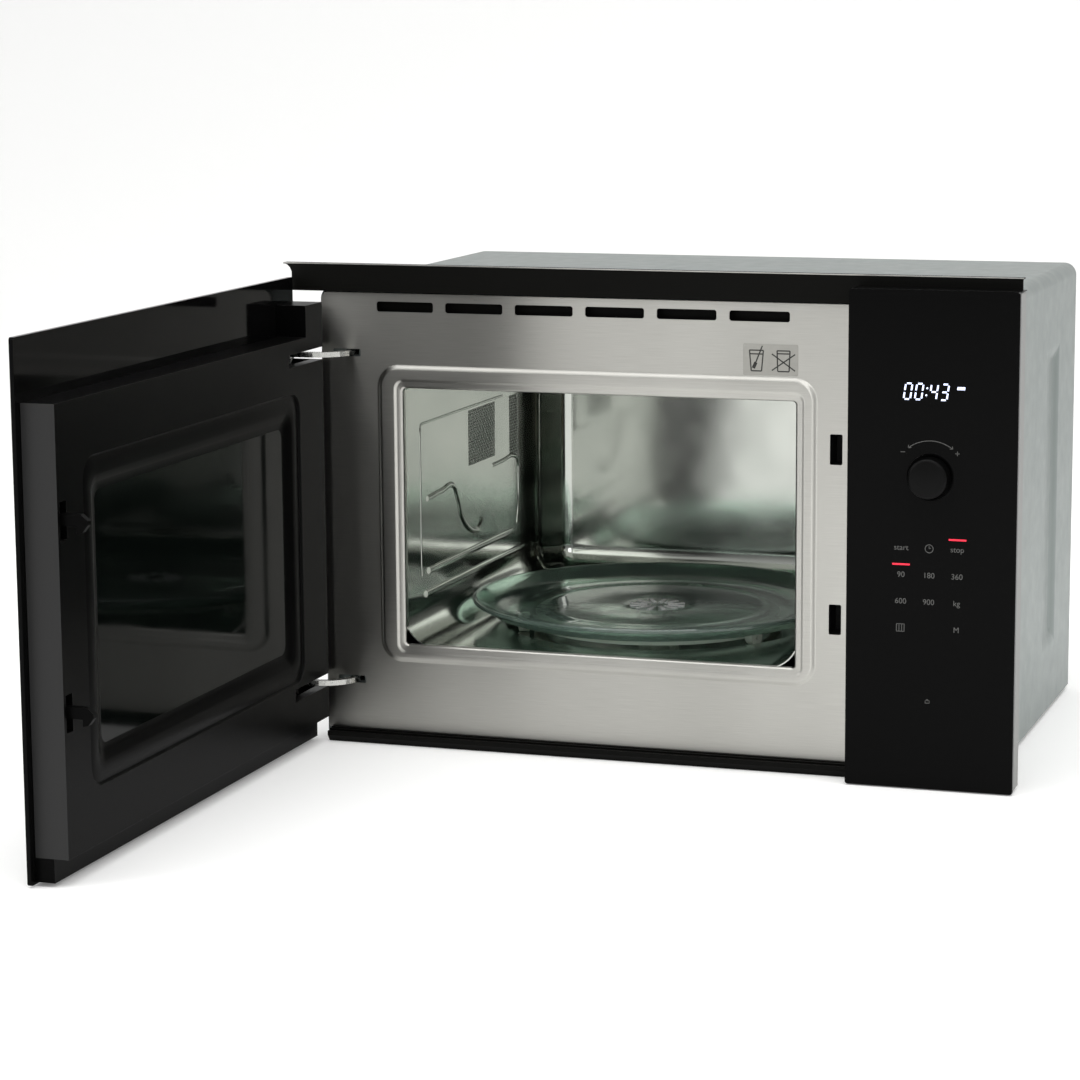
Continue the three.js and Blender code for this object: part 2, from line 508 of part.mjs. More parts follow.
// Folded steel frame inside the door that blocks the microwaves, and its perforated screen.
const choke = { left: -262, right: 146, bottom: 57, top: 303, front: -21, back: -8.3 };
piece('door_choke_frame', hung(carve([
  box(choke.left, choke.right, choke.front, choke.back, choke.bottom, choke.top),
], [
  box(choke.left + 8, choke.right - 8, choke.front - 5, choke.back - 1, choke.bottom + 6, choke.top - 6),
  box(WINDOW.left + 12, WINDOW.right - 12, choke.back - 5, choke.back + 5, WINDOW.bottom + 12, WINDOW.top - 12),
])), ZINC, door);
piece('door_screen', hung(box(WINDOW.left + 2, WINDOW.right - 2, choke.back - 2.1, choke.back - 1.3,
  WINDOW.bottom + 6, WINDOW.top - 4)), BLACK_PAINT, door);
piece('door_inner_glass', hung(box(WINDOW.left - 3, WINDOW.right + 3, choke.back + GAP, -5,
  WINDOW.bottom - 2, WINDOW.top + 3)), BLACK_GLASS, door);

// Latch key: one sliding bar with two hooks that reach through the slots in the front plate.
function latchKey() {
  const hooks = LATCH.heights.map((z) => slabX(polygon([
    [-12, z - 4], [9, z - 4], [9, z - 9], [13, z - 8], [17, z - 3], [17, z], [12, z + 4], [-12, z + 4],
  ]), LATCH.x - 2.5, LATCH.x + 2.5));
  return carve([
    box(LATCH.x - 2.5, LATCH.x + 2.5, -14, -8, LATCH.heights[1] - 4, LATCH.heights[0] + 4), ...hooks,
  ]);
}
piece('latch_key', hung(latchKey()), BLACK_PLASTIC, door);

// Coil spring that pulls the latch key down.
class Helix extends THREE.Curve {
  getPoint(t, target = new THREE.Vector3()) {
    const angle = t * 5 * 2 * Math.PI;
    return target.set(LATCH.x + 2.6 * Math.cos(angle), -11 + 2.6 * Math.sin(angle), 86 + 27 * t);
  }
}
const wire = new THREE.Shape().absarc(0, 0, 0.5, 0, 2 * Math.PI);
piece('latch_spring', hung(carve([new THREE.ExtrudeGeometry(wire, {
  steps: 50, curveSegments: 3, bevelEnabled: false, extrudePath: new Helix(),
})])), BRIGHT_STEEL, door);

HINGE.heights.forEach((z, i) => {
  piece(`hinge_pin_${['upper', 'lower'][i]}`, hung(bar('z', ARM.pin, z - 11, z + 11, PIVOT.x, PIVOT.y, 20)),
    BRIGHT_STEEL, door);
});

export default oven;
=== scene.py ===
# A built-in microwave oven with its door a quarter turn open. Metres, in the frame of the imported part:
# X = 0 is the middle of the front, Y = 0 the face of the front plate, Z = 0 the shelf it stands on.
import math

import bmesh
import bpy
from mathutils import Matrix, Vector


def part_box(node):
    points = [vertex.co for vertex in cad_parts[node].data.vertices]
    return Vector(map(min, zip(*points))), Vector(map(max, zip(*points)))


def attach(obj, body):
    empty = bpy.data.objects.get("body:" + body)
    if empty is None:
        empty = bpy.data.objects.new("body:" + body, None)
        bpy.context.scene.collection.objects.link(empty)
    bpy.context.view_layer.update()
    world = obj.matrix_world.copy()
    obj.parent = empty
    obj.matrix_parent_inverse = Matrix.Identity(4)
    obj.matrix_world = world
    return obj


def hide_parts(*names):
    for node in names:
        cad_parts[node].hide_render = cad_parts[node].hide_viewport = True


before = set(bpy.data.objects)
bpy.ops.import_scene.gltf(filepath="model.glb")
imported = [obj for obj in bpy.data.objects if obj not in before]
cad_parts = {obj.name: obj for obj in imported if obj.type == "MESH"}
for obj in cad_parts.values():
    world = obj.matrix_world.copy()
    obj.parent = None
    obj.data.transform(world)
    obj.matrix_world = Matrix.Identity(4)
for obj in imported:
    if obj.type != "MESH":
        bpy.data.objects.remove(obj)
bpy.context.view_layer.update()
mm = 0.001

# ---------------------------------------------------------------- camera
# A long lens a little above the oven and to its right, looking down on it, level but for a slight tilt.
# It stands 2.4 m in front of the plate.
camera_at = Vector((716.9, -2348.0, 591.2)) * mm
turn, dip, tilt = math.radians(18.77), math.radians(9.64), math.radians(-0.42)
lens = bpy.data.cameras.new("camera")
lens.sensor_width, lens.lens = 36, 107.8
camera = bpy.data.objects.new("camera", lens)
bpy.context.scene.collection.objects.link(camera)
camera.matrix_world = (
    Matrix.Translation(camera_at) @ Matrix.Rotation(turn, 4, "Z")
    @ Matrix.Rotation(math.pi / 2 - dip, 4, "X") @ Matrix.Rotation(tilt, 4, "Z"))
bpy.context.scene.camera = camera
bpy.context.scene.view_settings.view_transform = "Standard"


# ---------------------------------------------------------------- floor and light
# A white paper sweep that runs up behind the oven, under large soft boxes.
def linear(hex_value):
    """An sRGB hex value as linear colour."""
    parts = [int(hex_value[i:i + 2], 16) / 255 for i in (1, 3, 5)]
    return tuple(c / 12.92 if c <= 0.04045 else ((c + 0.055) / 1.055) ** 2.4 for c in parts) + (1,)


def add(material, kind, feeds=None, **settings):
    """Adds a node. Feeds gives its sockets a value each, or the output that feeds them."""
    made = material.node_tree.nodes.new(kind)
    for name, value in settings.items():
        setattr(made, name, value)
    for socket, value in (feeds or {}).items():
        if isinstance(value, bpy.types.NodeSocket):
            material.node_tree.links.new(value, made.inputs[socket])
        else:
            made.inputs[socket].default_value = value
    return made


def finish(name, colour, roughness, **shader_values):
    """A material of one shader. Its other values are named as the shader's sockets, with _ for a space."""
    material = bpy.data.materials.new(name)
    material.use_nodes = True
    sockets = material.node_tree.nodes["Principled BSDF"].inputs
    sockets["Base Color"].default_value = linear(colour)
    sockets["Roughness"].default_value = roughness
    for socket, value in shader_values.items():
        sockets[socket.replace("_", " ")].default_value = value
    return material


def grain(material, size, stretch=(1, 1, 1), detail=2.0):
    """Noise whose marks are size mm wide, drawn out by stretch along X, Y and Z."""
    place = add(material, "ShaderNodeTexCoord").outputs["Object"]
    scale = tuple(1 / (size * mm * s) for s in stretch)
    laid = add(material, "ShaderNodeMapping", {"Vector": place, "Scale": scale})
    return add(material, "ShaderNodeTexNoise", {
        "Vector": laid.outputs["Vector"], "Scale": 1.0, "Detail": detail}).outputs["Fac"]


def vary(material, pattern, colours=None, roughness=None, relief=None):
    """Lets a pattern run a material between two colours and two roughnesses, and raise it by relief mm."""
    links, sockets = material.node_tree.links, material.node_tree.nodes["Principled BSDF"].inputs
    if colours:
        mix = add(material, "ShaderNodeMix", {0: pattern}, data_type="RGBA")
        mix.inputs[6].default_value, mix.inputs[7].default_value = map(linear, colours)
        links.new(mix.outputs[2], sockets["Base Color"])
    if roughness:
        spread = add(material, "ShaderNodeMapRange", {
            "Value": pattern, "From Min": 0.3, "From Max": 0.7,
            "To Min": roughness[0], "To Max": roughness[1]})
        links.new(spread.outputs[0], sockets["Roughness"])
    if relief:
        bump = add(material, "ShaderNodeBump", {"Height": pattern, "Distance": relief * mm, "Strength": 1.0})
        if sockets["Normal"].links:
            links.new(sockets["Normal"].links[0].from_socket, bump.inputs["Normal"])
        links.new(bump.outputs[0], sockets["Normal"])
    return material


def new_object(bm, name, material, smooth_below=40):
    """A finished bmesh as an object at the origin, smooth where its faces meet at less than an angle."""
    mesh = bpy.data.meshes.new(name)
    bm.to_mesh(mesh)
    bm.free()
    mesh.materials.append(material)
    mesh.polygons.foreach_set("use_smooth", [True] * len(mesh.polygons))
    mesh.set_sharp_from_angle(angle=math.radians(smooth_below))
    made = bpy.data.objects.new(name, mesh)
    bpy.context.scene.collection.objects.link(made)
    return made


paper = finish("white_paper_sweep", "#f4f4f3", 0.9, Emission_Color=linear("#ffffff"), Emission_Strength=0.12)
sweep_half, sweep_back, sweep_height = 5.0, 3.5, 5.0
bm = bmesh.new()
bmesh.ops.create_grid(bm, x_segments=1, y_segments=1, size=sweep_half)
rear_edge = [e for e in bm.edges if all(v.co.y > 0 for v in e.verts)]
for v in rear_edge[0].verts:
    v.co.y = sweep_back
raised = bmesh.ops.extrude_edge_only(bm, edges=rear_edge)["geom"]
bmesh.ops.translate(bm, vec=(0, 0, sweep_height),
                    verts=[g for g in raised if isinstance(g, bmesh.types.BMVert)])
fold = [e for e in bm.edges if len(e.link_faces) == 2]
bmesh.ops.bevel(bm, geom=fold, offset=1.8, affect="EDGES", segments=24, profile=0.5, material=-1)
bmesh.ops.recalc_face_normals(bm, faces=bm.faces)
sweep = new_object(bm, "paper_sweep", paper)

# The room round the sweep is bright overhead and dim at the height of the oven, as a studio is.
world = bpy.data.worlds.new("studio")
world.use_nodes = True
height = add(world, "ShaderNodeSeparateXYZ", {
    "Vector": add(world, "ShaderNodeTexCoord").outputs["Generated"]}).outputs["Z"]
room_light = add(world, "ShaderNodeMapRange", {
    "Value": height, "From Min": -0.05, "From Max": 0.8, "To Min": 0.12, "To Max": 0.9}).outputs[0]
seen = add(world, "ShaderNodeMix", {
    0: add(world, "ShaderNodeLightPath").outputs["Is Camera Ray"], 2: room_light, 3: 0.95}).outputs[0]
world.node_tree.links.new(seen, world.node_tree.nodes["Background"].inputs["Strength"])
world.node_tree.nodes["Background"].inputs["Color"].default_value = linear("#ffffff")
bpy.context.scene.world = world


def soft_box(name, at, aim, width, height, watts):
    """A soft area light that looks at a point."""
    light = bpy.data.lights.new(name, "AREA")
    light.shape, light.size, light.size_y, light.energy = "RECTANGLE", width, height, watts
    lamp = bpy.data.objects.new(name, light)
    bpy.context.scene.collection.objects.link(lamp)
    at = Vector(at)
    towards = (Vector(aim) - at).to_track_quat("-Z", "Y")
    lamp.matrix_world = Matrix.Translation(at) @ towards.to_matrix().to_4x4()


soft_box("soft_box_above", (0.0, -0.6, 2.6), (0, 0.1, 0.2), 2.6, 2.0, 46)
soft_box("soft_box_left", (-2.4, -2.2, 1.3), (0, 0, 0.2), 1.6, 1.8, 24)
soft_box("soft_box_right", (2.6, -0.6, 1.4), (0, 0.1, 0.2), 1.4, 1.8, 16)
soft_box("soft_box_front", (0.9, -3.4, 1.5), (0, 0.2, 0.15), 1.2, 1.2, 12)

# ---------------------------------------------------------------- shared by the sheet metal
# Every pressed sheet is drawn as an outline that is extruded from step to step, then given its thickness.
quarter = 8  # points in a quarter of a rounded corner


def block(bm, x0, x1, y0, y1, z0, z1):
    """A box between two corners, in mm."""
    made = bmesh.ops.create_cube(bm, size=1)["verts"]
    bmesh.ops.scale(bm, vec=Vector((x1 - x0, y1 - y0, z1 - z0)) * mm, verts=made)
    bmesh.ops.translate(bm, vec=Vector((x0 + x1, y0 + y1, z0 + z1)) * mm / 2, verts=made)
    return made


def drawn_through(bm, outlines, closed=False):
    """A wall through rounded rectangles (x0, x1, z0, z1, corner, y) in mm. The first is a circle with its
    quarters moved apart. Each next one is extruded from the last and moved to its own size."""
    first = bmesh.ops.create_circle(bm, segments=4 * quarter, radius=1 / math.cos(math.pi / (4 * quarter)))
    bmesh.ops.rotate(bm, verts=first["verts"], matrix=Matrix.Rotation(math.pi / (4 * quarter), 3, "Z"))
    rays = {v: (v.co.x, v.co.y) for v in first["verts"]}
    edges = list({e for v in rays for e in v.link_edges})
    ends = [edges]
    for number, (x0, x1, z0, z1, corner, y) in enumerate(outlines):
        if number:
            made = bmesh.ops.extrude_edge_only(bm, edges=edges)["geom"]
            verts = [g for g in made if isinstance(g, bmesh.types.BMVert)]
            rays = {v: next(rays[e.other_vert(v)] for e in v.link_edges if e.other_vert(v) in rays)
                    for v in verts}
            edges = [e for e in made if isinstance(e, bmesh.types.BMEdge) and all(v in rays for v in e.verts)]
        for v, (across, up) in rays.items():
            x = (x1 - corner if across > 0 else x0 + corner) + across * corner
            z = (z1 - corner if up > 0 else z0 + corner) + up * corner
            v.co = Vector((x, y, z)) * mm
    if closed:
        for end in (ends[0], edges):
            bmesh.ops.edgeloop_fill(bm, edges=end)
        bmesh.ops.recalc_face_normals(bm, faces=bm.faces)


def settle(piece):
    """Works a piece's modifiers into its mesh."""
    bpy.context.view_layer.update()
    shown = piece.evaluated_get(bpy.context.evaluated_depsgraph_get())
    mesh = bpy.data.meshes.new_from_object(shown)
    piece.modifiers.clear()
    piece.data = mesh
    return piece


def thicken(piece, thickness, offset=-1):
    """Gives a sheet its thickness in mm, behind its face by default."""
    wall = piece.modifiers.new("wall", "SOLIDIFY")
    wall.thickness, wall.offset, wall.use_even_offset = thickness * mm, offset, True
    return settle(piece)


def combine(piece, bm, operation="DIFFERENCE"):
    """Cuts a bmesh's shape out of a piece, or joins it on."""
    bmesh.ops.recalc_face_normals(bm, faces=bm.faces)
    tool = new_object(bm, "tool", piece.data.materials[0])
    step = piece.modifiers.new("step", "BOOLEAN")
    step.operation, step.object, step.solver = operation, tool, "MANIFOLD"
    settle(piece)
    bpy.data.objects.remove(tool)
    return piece


def edges_broken(piece, width, segments=2, angle=35):
    """Rounds a piece's sharp edges by a width in mm."""
    bevel = piece.modifiers.new("edges", "BEVEL")
    bevel.width, bevel.segments, bevel.limit_method = width * mm, segments, "ANGLE"
    bevel.angle_limit, bevel.harden_normals = math.radians(angle), True
    return piece


def flats_kept_flat(piece, angle=40):
    """Shades a cut sheet so that its flats stay flat right up to their folds."""
    piece.data.set_sharp_from_angle(angle=math.radians(angle))
    shade = piece.modifiers.new("flats", "WEIGHTED_NORMAL")
    shade.weight, shade.keep_sharp = 100, True
    return piece


def fit(piece, body, slot, *replaced):
    """Puts a piece on its body, in place of the solids it stands for. The slot is not used."""
    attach(piece, body)
    if replaced:
        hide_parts(*replaced)
    return piece


def clothe(material, *nodes):
    """Gives solids that keep their shape their real finish."""
    for name in nodes:
        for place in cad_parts[name].material_slots:
            place.material = material


# ---------------------------------------------------------------- front plate
# One pressed sheet of brushed stainless, 1 mm thick. A raised bead with soft flanks runs round the
# opening, whose rim is rolled back into the oven. Slots: cooling air, door hooks, hinge arms, wiring.
plate = {"x0": -261.5, "x1": 272.5, "z0": 8.0, "z1": 359.5}
bead = {"x0": -212.5, "x1": 137.5, "z0": 68.5, "z1": 301.5}
mouth = {"x0": -193.5, "x1": 123.0, "z0": 80.6, "z1": 285.2}
bead_height = 1.9


def grown(sides, by):
    """The four sides of a rectangle moved out by so many mm."""
    return sides["x0"] - by, sides["x1"] + by, sides["z0"] - by, sides["z1"] + by


bm = bmesh.new()
drawn_through(bm, [
    (*grown(plate, 0), 6, 1.5), (*grown(plate, 0), 6, 0.5),
    (*grown(plate, -0.15), 5.9, 0.15), (*grown(plate, -0.5), 5.5, 0),
    (*grown(bead, 2.4), 18, 0), (*grown(bead, 1.5), 17, -0.2), (*grown(bead, 0.3), 16.2, -0.9),
    (*grown(bead, -0.9), 15.4, -1.6), (*grown(bead, -2.2), 14.5, -bead_height),
    (*grown(mouth, 7.5), 8, -bead_height), (*grown(mouth, 6.5), 7.4, -bead_height + 0.2),
    (*grown(mouth, 5.5), 6.8, -bead_height + 0.7), (*grown(mouth, 4.5), 6, -bead_height + 0.9),
    (*grown(mouth, 1.8), 4.2, -0.9), (*grown(mouth, 0.7), 3.6, -0.4),
    (*grown(mouth, 0.1), 3.2, 0.4), (*grown(mouth, 0), 3, 1.6), (*grown(mouth, 0), 3, 5.5),
])
bmesh.ops.recalc_face_normals(bm, faces=bm.faces)
if sum(f.normal.y * f.calc_area() for f in bm.faces) > 0:
    bmesh.ops.reverse_faces(bm, faces=bm.faces)

# Stainless steel, brushed along X: long fine scratches, a soft sheen across them, and tall bands of painted
# reflection in its colour.
brushed_steel = finish("brushed_stainless_steel", "#b4b3ad", 0.36, Metallic=1.0, Anisotropic=0.95)
scratches = grain(brushed_steel, 0.3, stretch=(80, 1, 1), detail=2)
painted_reflection_bands = grain(brushed_steel, 130, stretch=(1, 1, 5), detail=1)
scratches_and_painted_reflections = add(brushed_steel, "ShaderNodeMix", {0: 0.7, 2: scratches, 3: painted_reflection_bands}).outputs[0]
# The colour runs dark to light with the scratches and with tall soft bands of painted reflection.
vary(brushed_steel, scratches_and_painted_reflections, colours=("#8b8a85", "#e2e1db"), roughness=(0.27, 0.36))
vary(brushed_steel, scratches, relief=0.0012)
across_grain = add(brushed_steel, "ShaderNodeCombineXYZ", {"Z": 1.0}).outputs[0]
brushed_steel.node_tree.links.new(
    across_grain, brushed_steel.node_tree.nodes["Principled BSDF"].inputs["Tangent"])
front_plate = thicken(new_object(bm, "front_plate", brushed_steel), 0.8)

slot_width, slot_height, slot_row = 47.0, 8.0, 348.8
holes = [(-191 + 57.1 * i - slot_width / 2, -191 + 57.1 * i + slot_width / 2,
          slot_row - slot_height / 2, slot_row + slot_height / 2, 2.0) for i in range(6)]
hook_rows, hinge_rows = (249.9, 119.9), (312.0, 50.0)
holes += [(149.5, 159.1, z - 11.6, z + 11.6, 1.2) for z in hook_rows]
holes += [(-252.0, -228.5, z - 3.0, z + 3.0, 1.2) for z in hinge_rows]
holes.append((186, 262, 40, 340, 4))
for x0, x1, z0, z1, corner in holes:
    bm = bmesh.new()
    drawn_through(bm, [(x0, x1, z0, z1, corner, -4), (x0, x1, z0, z1, corner, 4)], closed=True)
    combine(front_plate, bm)
flats_kept_flat(front_plate)
fit(front_plate, "oven", "stainless", "cavity_front_plate")

# A strip of black sheet set back behind the row of air slots, so that they read dark: painted shade standing
# in for the shadow inside them.
bm = bmesh.new()
block(bm, -222, 130, 9, 9.6, 338, 358)
black_paint = finish("black_powder_coat", "#090908", 0.4, IOR=1.15)
vary(black_paint, grain(black_paint, 0.6, detail=3), colours=("#090908", "#0e0e0c"), roughness=(0.36, 0.5),
     relief=0.015)
fit(edges_broken(new_object(bm, "slot_shade_sheet", black_paint), 0.2), "oven", "black_paint")

# ---------------------------------------------------------------- oven cavity
# Folded stainless sheet with rounded folds and cut rear corners. The left wall carries pressed ribs
# and two fields of air holes, and the floor a round pressed recess for the roller track.
room = {"x0": -196.0, "x1": 125.5, "front": 2.4, "back": 350.0, "z0": 79.0, "z1": 287.0}
rear_cut, floor_fold, fold_radius = 22.0, 27.0, 6.0
bm = bmesh.new()
block(bm, room["x0"], room["x1"], room["front"], room["back"], room["z0"], room["z1"])
front_face = min(bm.faces, key=lambda f: f.calc_center_median().y)
bmesh.ops.delete(bm, geom=[front_face], context="FACES_ONLY")
at_back = [e for e in bm.edges if all(v.co.y > room["back"] * mm - 1e-5 for v in e.verts)]
upright = [e for e in at_back if abs(e.verts[0].co.z - e.verts[1].co.z) > 0.1]
bmesh.ops.bevel(bm, geom=upright, offset=rear_cut * mm, affect="EDGES", segments=1, profile=0.5, material=-1)
round_floor = [e for e in bm.edges if len(e.link_faces) == 2
               and all(v.co.z < room["z0"] * mm + 1e-5 for v in e.verts)]
bmesh.ops.bevel(bm, geom=round_floor, offset=floor_fold * mm, affect="EDGES", segments=10, profile=0.5,
                material=-1)
creases = [e for e in bm.edges if len(e.link_faces) == 2 and e.calc_face_angle() > math.radians(30)]
bmesh.ops.bevel(bm, geom=creases, offset=fold_radius * mm, affect="EDGES", segments=4, profile=0.5,
                material=-1)
bmesh.ops.recalc_face_normals(bm, faces=bm.faces)
if max(bm.faces, key=lambda f: f.calc_area()).normal.dot(
        Vector((0, 0.17, 0.18)) - max(bm.faces, key=lambda f: f.calc_area()).calc_center_median()) < 0:
    bmesh.ops.reverse_faces(bm, faces=bm.faces)

# Bright-annealed stainless: smoother than the front, with shallow waves from the press.
bright_steel = finish("bright_annealed_stainless_steel", "#b6b9b3", 0.12, Metallic=1.0)
vary(bright_steel, grain(bright_steel, 70, detail=1), colours=("#aeb2ac", "#bfc1bb"), relief=0.35)
vary(bright_steel, grain(bright_steel, 35, stretch=(1, 3, 1), detail=1), roughness=(0.1, 0.15))
cavity = thicken(new_object(bm, "oven_cavity", bright_steel), 1.0)

plate_axis = Vector((-35.3, 165.0, 0)) * mm
recess = {"radius": 128.0, "depth": 5.0, "fillet": 4.0}


def ring_tool(radius, z0, z1, sides=96):
    """An upright cylinder on the turntable's axis, in mm, for cutting."""
    bm = bmesh.new()
    bmesh.ops.create_cone(bm, cap_ends=True, segments=sides, radius1=radius * mm, radius2=radius * mm,
                          depth=(z1 - z0) * mm)
    bmesh.ops.translate(bm, vec=plate_axis + Vector((0, 0, (z0 + z1) / 2 * mm)), verts=bm.verts)
    return bm


def spun(profile, centre, axis=(0, 0, 1), steps=96):
    """A profile of (radius, height) in mm turned about an axis through a point."""
    bm = bmesh.new()
    verts = [bm.verts.new(Vector((r, 0, h)) * mm) for r, h in profile]
    edges = [bm.edges.new(pair) for pair in zip(verts, verts[1:])]
    bmesh.ops.spin(bm, geom=verts + edges, axis=(0, 0, 1), cent=(0, 0, 0), angle=2 * math.pi, steps=steps,
                   use_merge=True)
    bmesh.ops.remove_doubles(bm, verts=bm.verts, dist=1e-6)
    bmesh.ops.recalc_face_normals(bm, faces=bm.faces)
    turned = Vector((0, 0, 1)).rotation_difference(Vector(axis)).to_matrix().to_4x4()
    bmesh.ops.transform(bm, matrix=Matrix.Translation(centre) @ turned, verts=bm.verts)
    return bm


combine(cavity, ring_tool(recess["radius"], 60, 95))
fields = [(155.0, 221.0, 201.6, 248.0), (258.0, 281.0, 196.0, 248.0)]  # air-hole fields: y0, y1, z0, z1
for y0, y1, z0, z1 in fields:
    bm = bmesh.new()
    block(bm, room["x0"] - 5, room["x0"] + 5, y0, y1, z0, z1)
    combine(cavity, bm)
flats_kept_flat(cavity, 50)
fit(cavity, "oven", "cavity_steel", "cavity_shell")

floor = room["z0"]
deep = floor - recess["depth"]
r = recess["radius"]
bm = spun([(6, deep), (r - 10, deep), (r - 5, deep + 0.7), (r - 2, deep + 2.4), (r - 0.7, floor - 0.8),
           (r, floor - 0.2), (r + 2, floor - 0.1), (r + 2, floor - 1), (r - 1, floor - 1.2),
           (r - 3.4, deep + 1.2), (r - 6, deep - 0.4), (r - 11, deep - 1), (6, deep - 1), (6, deep)],
          plate_axis)
fit(new_object(bm, "floor_recess", bright_steel), "oven", "cavity_steel")

# Air-hole field: round holes punched in staggered rows, one sheet let into the wall.
hole_pitch, hole_radius = 3.6, 1.3
for number, (y0, y1, z0, z1) in enumerate(fields, 1):
    count = round(1.5 * max(y1 - y0, z1 - z0) / hole_pitch)
    bm = bmesh.new()
    bmesh.ops.create_grid(bm, x_segments=count, y_segments=count, size=count * hole_pitch / 2 * mm)
    bmesh.ops.bisect_edges(bm, edges=bm.edges, cuts=1)
    cells = list(bm.faces)
    bmesh.ops.inset_individual(bm, faces=cells, thickness=0.3 * mm)
    for cell in cells:
        centre = cell.calc_center_median()
        for v in cell.verts:
            v.co = centre + (v.co - centre).normalized() * hole_radius * mm
    bmesh.ops.delete(bm, geom=cells, context="FACES")
    bmesh.ops.rotate(bm, matrix=Matrix.Rotation(math.pi / 4, 3, "Z"), verts=bm.verts)
    for half, side in (((y1 - y0) / 2, Vector((1, 0, 0))), ((z1 - z0) / 2, Vector((0, 1, 0)))):
        for facing in (side, -side):
            bmesh.ops.bisect_plane(bm, geom=bm.verts[:] + bm.edges[:] + bm.faces[:],
                                   plane_co=facing * half * mm, plane_no=facing, clear_outer=True)
    place = Matrix(((0, 0, 1, 0), (1, 0, 0, 0), (0, 1, 0, 0), (0, 0, 0, 1)))
    place = Matrix.Translation(Vector((room["x0"] - 0.1, (y0 + y1) / 2, (z0 + z1) / 2)) * mm) @ place
    bmesh.ops.transform(bm, matrix=place, verts=bm.verts)
    field = thicken(new_object(bm, f"air_holes_{number}", bright_steel), 0.7)
    fit(field, "oven", "cavity_steel")


def outline_of(curve):
    """The mesh that a curve or a line of text draws."""
    drawn = bpy.data.objects.new(curve.name, curve)
    bpy.context.scene.collection.objects.link(drawn)
    bpy.context.view_layer.update()
    mesh = bpy.data.meshes.new_from_object(drawn.evaluated_get(bpy.context.evaluated_depsgraph_get()))
    bpy.data.objects.remove(drawn)
    return mesh


def pressed_line(name, points, width, height, material, wall_x):
    """A rib pressed up from the left wall along points (y, z) in mm, width across and height proud."""
    curve = bpy.data.curves.new(name, "CURVE")
    curve.dimensions, curve.bevel_depth = "3D", width / 2 * mm
    curve.bevel_resolution, curve.use_fill_caps = 4, True
    line = curve.splines.new("BEZIER")
    line.bezier_points.add(len(points) - 1)
    for knot, (y, z) in zip(line.bezier_points, points):
        knot.co = Vector((0, y, z)) * mm
        knot.handle_left_type = knot.handle_right_type = "AUTO"
    bm = bmesh.new()
    bm.from_mesh(outline_of(curve))
    bmesh.ops.scale(bm, vec=(2 * height / width, 1, 1), verts=bm.verts)
    bmesh.ops.translate(bm, vec=(wall_x * mm, 0, 0), verts=bm.verts)
    return new_object(bm, name, material, 60)


ribs = {
    "upper_line": ([(44, 251), (120, 251), (240, 250.5)], 2.2, 0.6),
    "hook": ([(57, 189), (90, 190.5), (118, 190.5), (128, 178), (136, 163), (150, 152), (168, 145.5),
              (180, 147), (186, 153)], 5.0, 1.4),
    "rib_upper": ([(58, 130), (160, 130), (262, 130)], 6.0, 1.8),
    "rib_lower": ([(51, 112), (170, 112), (292, 112)], 6.0, 1.8),
    "frame_front": ([(44, 251), (43, 248), (43, 200), (43, 140), (44, 128)], 2.2, 0.6),
    "vent_frame": ([(212, 194), (240, 194.5), (268, 195), (279, 190), (281, 175), (280, 150), (276, 135)],
                   3.6, 1.2),
}
for name, (points, width, height) in ribs.items():
    fit(pressed_line(f"wall_{name}", points, width, height, bright_steel, room["x0"]), "oven", "cavity_steel")

# Mica sheet over the microwave inlet: pressed flakes, dull gold-grey, faintly layered.
mica = finish("mica_sheet", "#b9b09a", 0.55)
vary(mica, grain(mica, 6, detail=4), colours=("#a89f88", "#c6bea9"), roughness=(0.4, 0.65), relief=0.05)
clothe(mica, "waveguide_cover")

# ---------------------------------------------------------------- turntable
# Pressed glass platter on a moulded drive hub. A moulded ring carries three rollers in the recess.
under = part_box("turntable_glass")[0].z / mm
section = [  # radius and height over the underside: out along the bottom, up the rim, back over the rings
    (0, 0.6), (26, 0.6), (29, 0), (120, 0), (133, 0.3), (139, 2.5), (146, 7.4), (150, 9.3), (152, 10.4),
    (152, 12.4), (151.2, 13.3), (149.4, 13.4), (148, 12.6), (142, 10.2), (136.5, 6.2), (131, 4.6), (118, 4.4),
    (114, 4.9), (110, 4.4), (92, 4.4), (89, 4.9), (86, 4.4), (34, 4.4), (30, 5.0), (26, 4.4), (0, 4.4)]
bm = spun([(radius, under + rise) for radius, rise in section], plate_axis, steps=112)
# Soda-lime glass with the green cast of thick glass, pressed, so it ripples a little.
pressed_glass = finish("pressed_soda_lime_glass", "#d6efe3", 0.02, Transmission_Weight=0.9, IOR=1.5)
vary(pressed_glass, grain(pressed_glass, 9, detail=1), relief=0.08)
fit(new_object(bm, "glass_platter", pressed_glass), "turntable_glass", "clear_glass", "turntable_glass")

# Star of short ribs moulded in the platter's middle, over the hub, coloured plain white: a painted highlight
# for the bright star where the white hub shows through the glass.
bm = bmesh.new()
for i in range(12):
    rib = block(bm, 9, 23, -1.7, 1.7, under + 4.2, under + 5.3)
    bmesh.ops.rotate(bm, cent=(0, 0, 0), matrix=Matrix.Rotation(i * math.pi / 6, 3, "Z"), verts=rib)
bmesh.ops.translate(bm, vec=plate_axis, verts=bm.verts)
bmesh.ops.bevel(bm, geom=bm.edges, offset=0.25 * mm, affect="EDGES", segments=2, profile=0.5, material=-1)
star_painted_highlight = finish("painted_highlight_star_glass", "#ffffff", 0.15, IOR=1.5, Specular_IOR_Level=1.0)
vary(star_painted_highlight, grain(star_painted_highlight, 1.2, detail=2), roughness=(0.15, 0.4), relief=0.15)
fit(new_object(bm, "platter_star_painted_highlight", star_painted_highlight), "turntable_glass", "clear_glass")

